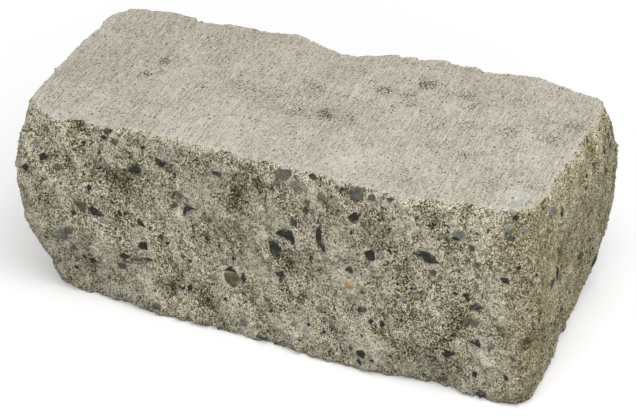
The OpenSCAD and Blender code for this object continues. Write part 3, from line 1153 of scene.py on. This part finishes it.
cement_noise = use_group(tree, STAINS, Width=9.0, Shift=21.0).outputs[0]
cement = total(
    tree, (cement_noise, 1.1), (mottle, 0.5), (coarse["Shade"], 0.12), (warm_at, -1.0)
)
split_colour = blended(
    tree, from_to(tree, cement, 0.1, 3.0),
    colours_at(tree, split_value, VALUE_PLACES, WARM_CEMENT),
    colours_at(tree, split_value, VALUE_PLACES, COOL_CEMENT),
)
split_colour = blended(tree, warm_at, split_colour, END_TINT, "MULTIPLY")
print("cement, darkest to lightest:", WARM_CEMENT[0], "to", WARM_CEMENT[-1])

# %% [markdown]
# ## Drag lines and pores in the skin
# The top bed face was struck off while it was wet, which drew fine lines across the
# block's width. They are noise, drawn out by making one coordinate a small share of
# itself. Open pores are clustered where a patch was placed above, and small round dots
# lie between them, one in the middle of some grains.

# %% Drag lines and pores
def drag_lines(width, share):
    """Fine lines across the block: noise of the given width, drawn out in that direction
    by making that coordinate a small share of itself."""
    place = put(
        tree, "ShaderNodeMapping",
        Vector=put(tree, "ShaderNodeTexCoord").outputs["Object"], Scale=(1.0, share, 1.0),
    ).outputs[0]
    scale = 1000.0 / width
    return put(tree, "ShaderNodeTexNoise", Vector=place, Scale=scale, Detail=1.0).outputs[0]


def dots(width, few):
    """Small round dots, one in the middle of some grains of the given width. The higher
    few is, the fewer grains have one; a pored place has more."""
    grains = use_group(tree, GRAINS, Width=width).outputs
    middle = from_to(tree, grains["Dome"], 0.90, 0.99)
    chance = total(tree, (grains["Shade"], 1.0), (pored_at, 0.45), (smudge, 0.12))
    return combined(tree, "MULTIPLY", middle, from_to(tree, chance, few, few + 0.15))


drag = total(tree, (drag_lines(0.65, 0.12), 0.65), (drag_lines(0.8, 0.035), 0.35))
smudge = use_group(tree, STAINS, Width=12.0, Shift=11.0).outputs[0]
pore_noise = use_group(tree, STAINS, Width=1.1, Shift=13.0).outputs[0]
pore_level = total(tree, (pored_at, 1.0), (pore_noise, 1.15), (smudge, 0.25))
holes = from_to(tree, pore_level, 1.0, 1.35, smooth=True)
specks = combined(tree, "MAXIMUM", dots(1.3, 0.76), dots(1.9, 0.62))
pores = combined(tree, "MAXIMUM", holes, combined(tree, "MULTIPLY", specks, 0.85))
print("concrete nodes so far:", len(tree.nodes))

# %% [markdown]
# ## The moulded skin's colour
# The skin is a warm pale grey, nearly even. Its drag lines carry most of the shade, the
# pores are dark, along its rim it is paler, and in the smooth patches it is paler and
# cooler. It is made as the broken faces are, from one value and two ramps.

# %% Colours of the moulded skin
SKIN_PLACES = (0.20, 0.45, 0.61, 0.77, 0.99)
WARM_SKIN = [(86, 79, 57), (145, 136, 119), (178, 171, 156), (199, 194, 181), (214, 211, 203)]
COOL_SKIN = [(86, 83, 68), (145, 142, 130), (178, 176, 166), (198, 196, 188), (214, 214, 208)]

speckle = use_group(tree, GRAINS, Width=0.7).outputs
wide = use_group(tree, STAINS, Width=45.0, Shift=7.0).outputs[0]
pale_level = total(tree, (painted_on(tree, "pale"), 0.8), (smudge, 0.7), (mottle, 0.4))
paleness = from_to(tree, pale_level, 0.1, 1.1, smooth=True)
rim = from_to(tree, total(tree, (skin_at, 1.0), (smudge, 1.5)), 8.0, 1.0, smooth=True)
skin_value = total(
    tree,
    (drag, 0.74),
    (speckle["Dome"], 0.16),
    (speckle["Shade"], 0.17),
    (grit["Shade"], 0.24),
    (wide, 0.06),
    (smudge, 0.04),
    (pores, -0.60),
    (pored_at, -0.05),
    (paleness, 0.05),
    (rim, 0.05),
)
skin_colour = blended(
    tree, combined(tree, "MULTIPLY", paleness, 0.75),
    colours_at(tree, skin_value, SKIN_PLACES, WARM_SKIN),
    colours_at(tree, skin_value, SKIN_PLACES, COOL_SKIN),
)
skin_height = total(tree, (drag, 0.35), (speckle["Dome"], 0.10), (pores, -0.6))
print("skin, darkest to lightest:", WARM_SKIN[0], "to", WARM_SKIN[-1])

# %% [markdown]
# ## The border and the surface
# Where the skin ends the block is ragged, because small flakes came off with the break.
# The painted distance inside the skin would give a straight border, so patterns are added
# to it. Height goes to a Bump node, which roughens what is finer than the mesh: single
# grains, drag lines and pores.

# %% Surface of the concrete
border = total(tree, (skin_at, 1.0), (mottle, 1.6), (smudge, 1.8), (coarse["Shade"], 1.2))
in_skin = from_to(tree, border, -0.2, 0.9)
height = between(tree, in_skin, split_height, skin_height)
bump = put(tree, "ShaderNodeBump", Height=height, Distance=MM, Strength=1.0)
surface = put(
    tree, "ShaderNodeBsdfPrincipled",
    Base_Color=blended(tree, in_skin, split_colour, skin_colour),
    Roughness=0.92, Specular_IOR_Level=0.3, Normal=bump.outputs[0],
)
put(tree, "ShaderNodeOutputMaterial", Surface=surface.outputs[0])
body.data.materials.append(concrete)
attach(body, "root")
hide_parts("wall_block")
print("concrete nodes:", len(tree.nodes))

# %% [markdown]
# ## Stones
# Each stone is a stack of rings: a nearly flat face in the plane of the break, a worn
# edge, and sides that go down into the concrete. Its outline is cut by a few straight
# lines, as a chip's is, so it has corners. A stone could also be a patch of colour, but
# its crisp edge and its own small shadow are what set it in the face. All the stones of a
# kind are worked out together, as arrays with one row for each, and make one mesh.

# %% Faces of many stones at once
def stack_faces(count, around, rings):
    """Faces of many closed shapes: each is a top point, rings of points going down, and
    a bottom point. Fans close the ends and pairs of triangles join the rings."""
    here = np.arange(around)
    there = (here + 1) % around
    top = np.stack([0 * here, 1 + here, 1 + there], axis=1)
    steps = 1 + around * np.arange(rings - 1)[:, None]
    a, b = steps + here, steps + there
    sides = np.stack([a, a + around, b + around, a, b + around, b], axis=2).reshape(-1, 3)
    last = 1 + around * (rings - 1)
    bottom = np.stack([last + here, 0 * here + last + around, last + there], axis=1)
    faces = np.concatenate([top, sides, bottom])
    each = (2 + around * rings) * np.arange(count)
    return (faces[None] + each[:, None, None]).reshape(-1, 3)


print("triangles in one small stone:", len(stack_faces(1, 9, 4)))

# %% [markdown]
# ## A chip's outline
# The stone in the mix is crushed, so it has straight edges and corners. A circle made
# uneven would look like river gravel. So the outline is the nearest of a few straight
# lines round the middle. Some roughness and one bite out of it keep it from being neat.

# %% Outline of a chip
def outline(angle, corners, rng):
    """Distance from the middle to a chip's edge at each angle: the nearest of a few
    straight lines, one for each side, each a little out of place, made uneven at random
    and with one bite taken out."""
    count = len(corners)
    most = int(corners.max())
    side = np.arange(most)
    normal = (side + 0.5) * 2 * math.pi / corners[:, None] + rng.uniform(-0.25, 0.25, (count, most))
    away = np.cos(math.pi / corners)[:, None] * rng.uniform(0.85, 1.12, (count, most))
    away = np.where(side < corners[:, None], away, 9)
    slant = np.cos(angle[:, :, None] - normal[:, None, :])
    reach = away[:, None, :] / np.maximum(slant, 0.05)
    rough = rng.normal(0, 0.06, angle.shape)
    rough = (rough + np.roll(rough, 1, axis=1)) / 2
    bite = np.cos(angle - rng.uniform(0, 2 * math.pi, (count, 1)))
    bite = rng.uniform(0, 0.3, (count, 1)) * np.clip(6 * bite - 5, 0, 1)
    return np.minimum(reach.min(axis=2), 1.1) * (1 + rough) - bite


sample_angle = np.linspace(0, 2 * math.pi, 8, endpoint=False)[None]
sample_reach = outline(sample_angle, np.array([4]), np.random.default_rng(1))
print("reach of a sample chip:", sample_reach.round(2))

# %% [markdown]
# ## Lying in the break
# A stone was cut by the same break as the cement round it, so its face lies in the break.
# The slope of one grid cell would tip it at random, since the relief is rough. So the
# directions come from a copy of the grid that has been evened many times.

# %% Directions on the block
smooth_block = evened(block, 40)


def frames_at(places, turn, rng, tilt):
    """For each place, its point on the block and three directions: along the stone,
    across it, and out of the face, tipped at random by up to the tilt."""
    ring, column = places.T
    ring = ring + UNDER_RINGS
    point = block[ring, column]
    across = smooth_block[ring, (column + 2) % COLUMNS] - smooth_block[ring, column - 2]
    upwards = smooth_block[ring + 2, column] - smooth_block[ring - 2, column]
    out = np.cross(across, upwards)
    out /= np.linalg.norm(out, axis=1, keepdims=True)
    out += rng.uniform(-tilt, tilt, out.shape)
    out /= np.linalg.norm(out, axis=1, keepdims=True)
    level = np.cross([0, 0, 1.0], out)
    level /= np.linalg.norm(level, axis=1, keepdims=True)
    rise = np.cross(out, level)
    c, s = np.cos(np.radians(turn))[:, None], np.sin(np.radians(turn))[:, None]
    return point, c * level + s * rise, c * rise - s * level, out


sample_frame = frames_at(np.array([[40, 0]]), np.array([0]), np.random.default_rng(1), 0)
print("out of the right end:", sample_frame[3].round(2))

# %% [markdown]
# ## A chip
# Seen from the side a chip is a low block: level on top, worn round its edge, and narrower
# where it goes down into the cement. One shape stretched for every stone would show as a
# copy. So each row has its own outline, and the rings below it are shares of that outline.

# %% Points of many chips
def stretched(values):
    """Each row moved and scaled so that it runs from -1 to 1."""
    least = values.min(axis=1, keepdims=True)
    most = values.max(axis=1, keepdims=True)
    return (2 * values - least - most) / (most - least)


def chips(places, shapes, around, proud, seed):
    """Points of flat-faced stones, one row each. Ring by ring the outline's share and the
    height go from the middle of the face, over a worn edge, down to a point inside. A
    long thin chip is bent into an arc, and past a ridge across it the face slopes down."""
    rng = np.random.default_rng(seed)
    length, width, turn, corners = shapes.T
    count = len(shapes)
    angle = np.linspace(0, 2 * math.pi, around, endpoint=False)
    angle = np.repeat(angle[None], count, axis=0)
    reach = outline(angle, corners, rng)
    share = np.array([0.6, 0.93, 1.0, 0.85])
    drop = np.array([0.0, 0.02, 0.12, 0.75])
    last_drop = 0.9
    x = stretched(reach * np.cos(angle))[:, None, :] * share[None, :, None]
    y = stretched(reach * np.sin(angle))[:, None, :] * share[None, :, None]
    ends = np.zeros((count, 1))
    x = np.concatenate([ends, x.reshape(count, -1), ends], axis=1) * length[:, None] / 2
    y = np.concatenate([ends, y.reshape(count, -1), ends], axis=1) * width[:, None] / 2
    bend = np.where(length > 2.6 * width, 0.9, 0.15) * width
    y = y + (bend * rng.choice([-1, 1], count))[:, None] * ((2 * x / length[:, None]) ** 2 - 0.4)
    depth = np.concatenate([[0], np.repeat(drop, around), [last_drop]])
    height = proud + 0.045 * length[:, None] - depth[None] * width[:, None]
    ridge = rng.uniform(0, 2 * math.pi, (count, 1))
    past = x * np.cos(ridge) + y * np.sin(ridge) - 0.12 * length[:, None]
    height = height - 0.12 * np.maximum(past, 0)
    point, along, across, out = frames_at(places, turn, rng, 0.04)
    points = point[:, None] + x[:, :, None] * along[:, None] + y[:, :, None] * across[:, None]
    points = points + height[:, :, None] * out[:, None]
    return points.reshape(-1, 3), 2 + len(share) * around


sample_chip = chips(np.array([[40, 0]]), np.array([[8, 5, 0, 5]]), 9, 0.25, 1)[0]
print("a sample chip, mm:", np.ptp(sample_chip, axis=0).round(1))

# %% [markdown]
# ## One mesh for each kind
# A block like this shows hundreds of stones. An object for each would be slow to work
# with, so a kind is one mesh. The large stones get rings of many points and the small ones
# rings of few, since nobody sees their corners. Two numbers are painted on them for the
# finish: a tone for each stone, and how near a point is to the rim.

# %% Make the stones
BIG_STONE = 3.4
BIG_AROUND, BIG_PROUD = 28, 0.45
SMALL_AROUND, SMALL_PROUD = 9, 0.25
RIM_SHARES = [0.3, 0.8, 1.0, 1.2]


def inside_box(points):
    """The points, held inside the block's own box."""
    return np.clip(points, low + 0.01, high - 0.01)


stone_pieces = {}
for number, kind in enumerate(KINDS):
    places, shapes = stones[kind]
    rng = np.random.default_rng(50 + number)
    big = shapes[:, 0] > BIG_STONE
    parts, faces, tones, rims = [], [], [], []
    start = 0
    sizes = ((big, BIG_AROUND, BIG_PROUD), (~big, SMALL_AROUND, SMALL_PROUD))
    for chosen, around, proud in sizes:
        points, each = chips(places[chosen], shapes[chosen], around, proud, 70 + number)
        parts.append(points)
        faces.append(stack_faces(chosen.sum(), around, len(RIM_SHARES)) + start)
        tones.append(np.repeat(rng.random(chosen.sum()), each))
        rim_share = np.concatenate([[0], np.repeat(RIM_SHARES, around), RIM_SHARES[-1:]])
        rims.append(np.tile(rim_share, chosen.sum()))
        start += len(points)
    points = inside_box(np.concatenate(parts))
    piece = mesh_object(kind + "_stones", points, np.concatenate(faces), False)
    paint(piece, "tone", np.concatenate(tones))
    paint(piece, "rim", np.concatenate(rims))
    stone_pieces[kind] = piece
    print(piece.name, len(piece.data.polygons), "triangles")

# %% [markdown]
# ## Sand
# The broken faces are covered in sand, and the grains that stand proud catch the light.
# The finish has grains of its own, but they don't break the outline. So several thousand
# real grains are scattered too, each only two rings of five points. They take the tone, and
# the painted shade and dirt, of the place where they lie, and share the body's material.

# %% Make the sand
SAND_COUNT = 9400
GRAIN_AROUND = 5
GRAIN_POINTS = 2 + 2 * GRAIN_AROUND
HALF_STEP = 0.63


def sand_grains(count, seed):
    """Points of small rounded grains with two rings of five points, turned at random and
    sunk halfway into the broken faces, and a tone for each."""
    rng = np.random.default_rng(seed)
    column = any_columns(2 * count, rng)
    ring = np.searchsorted(heights, rng.uniform(heights[1], heights[-2], 2 * count))
    ring = np.clip(ring, 2, len(heights) - 3)
    bare = cover[ring, column] < 0.5
    places = np.stack([ring, column], axis=1)[bare][:count]
    angle = np.linspace(0, 2 * math.pi, GRAIN_AROUND, endpoint=False)
    angle = np.concatenate([angle, angle + HALF_STEP])
    x = np.concatenate([[0], 0.9 * np.cos(angle), [0]])
    y = np.concatenate([[0], 0.9 * np.sin(angle), [0]])
    z = np.concatenate([[1], np.repeat([0.45, -0.45], GRAIN_AROUND), [-1]])
    ball = np.stack([x, y, z], axis=1)[None] * rng.uniform(0.8, 1.2, (count, GRAIN_POINTS, 1))
    radius = rng.uniform(0.3, 0.75, (count, 1))
    longer = radius * rng.uniform(1, 1.5, (count, 1))
    stretch = np.concatenate([longer, radius, 0.8 * radius], axis=1)
    ball = ball * stretch[:, None, :]
    point, along, across, out = frames_at(places, rng.uniform(0, 360, count), rng, 0.6)
    jitter = rng.uniform(-0.6, 0.6, (count, 2))
    point = point + jitter[:, :1] * along + jitter[:, 1:] * across
    point = point - out * radius * rng.uniform(0.3, 0.8, (count, 1))
    axes = np.stack([along, across, out], axis=1)
    points = point[:, None] + ball @ axes
    here = {
        "tone": rng.random(count),
        "worn": grain_faded[places[:, 1]],
        "hollow": hollow[places[:, 0], places[:, 1]],
        "warm": end_calm[places[:, 1]],
        "skin": np.full(count, -9.0),
    }
    fields = {name: np.repeat(field, GRAIN_POINTS) for name, field in here.items()}
    return points.reshape(-1, 3), fields


sand_pieces = []
for name, seed in (("sand_a", 11), ("sand_b", 12)):
    points, fields = sand_grains(SAND_COUNT, seed)
    piece = mesh_object(name, inside_box(points), stack_faces(SAND_COUNT, GRAIN_AROUND, 2), False)
    for label, field in fields.items():
        paint(piece, label, field)
    sand_pieces.append(piece)
    print(name, len(piece.data.polygons), "triangles")

# %% [markdown]
# ## Stone and sand materials
# Basalt is nearly black and breaks with a fine, even grain. The other kinds differ only
# in colour. Each could have a material written out for it, but one function builds them
# all, from three colours for each kind. The tone painted on a stone moves it along them,
# and cement sticks to it in specks, more of them near its rim.

# %% Stone materials
CEMENT_DUST = shade(172, 165, 139)
STONE_COLOURS = {
    "dark": [(30, 30, 26), (48, 48, 42), (101, 100, 92)],
    "grey": [(75, 75, 66), (101, 100, 88), (123, 121, 108)],
    "blue": [(114, 115, 110), (137, 139, 133), (165, 165, 156)],
    "brown": [(94, 84, 63), (121, 112, 88), (145, 132, 106)],
    "pale": [(163, 159, 145), (186, 183, 174), (207, 205, 199)],
    "orange": [(159, 119, 55), (188, 152, 81), (205, 177, 119)],
}


def stone_material(name, colours):
    """A stone's finish: its tone and two sizes of fine grain choose a colour, cement
    sticks to it in specks, more of them near its rim, and the grain also roughens it."""
    made = bpy.data.materials.new(name)
    made.use_nodes = True
    tree = made.node_tree
    tree.nodes.clear()
    specks = use_group(tree, GRAINS, Width=0.6).outputs
    cloud = use_group(tree, STAINS, Width=3.2, Shift=1.0, Upwards=1.0).outputs[0]
    crumbs = use_group(tree, GRAINS, Width=0.8).outputs["Shade"]
    value = total(
        tree, (painted_on(tree, "tone"), 0.45), (specks["Shade"], 0.6), (cloud, 0.7)
    )
    dust = total(tree, (painted_on(tree, "rim"), 0.42), (crumbs, 0.6), (cloud, 0.10))
    own_colour = colours_at(tree, value, (0.1, 0.55, 1.0), colours)
    bump = put(tree, "ShaderNodeBump", Height=specks["Dome"], Distance=0.0003)
    surface = put(
        tree, "ShaderNodeBsdfPrincipled",
        Base_Color=blended(tree, from_to(tree, dust, 0.82, 0.97), own_colour, CEMENT_DUST),
        Roughness=0.8, Specular_IOR_Level=0.4, Normal=bump.outputs[0],
    )
    put(tree, "ShaderNodeOutputMaterial", Surface=surface.outputs[0])
    return made


for kind, piece in stone_pieces.items():
    piece.data.materials.append(stone_material(kind + "_stone", STONE_COLOURS[kind]))
for piece in sand_pieces:
    piece.data.materials.append(concrete)
for piece in [*stone_pieces.values(), *sand_pieces]:
    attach(piece, "root")
    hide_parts("wall_block")
print("materials:", [material.name for material in bpy.data.materials])

# %% [markdown]
# ## Sizes
# The block as it looks must stay inside the box of the imported solid, so the solid's box
# is printed.

# %% Print the solid's box
print("cad box, m:", [round(v, 4) for v in (*cad_low, *cad_high)])
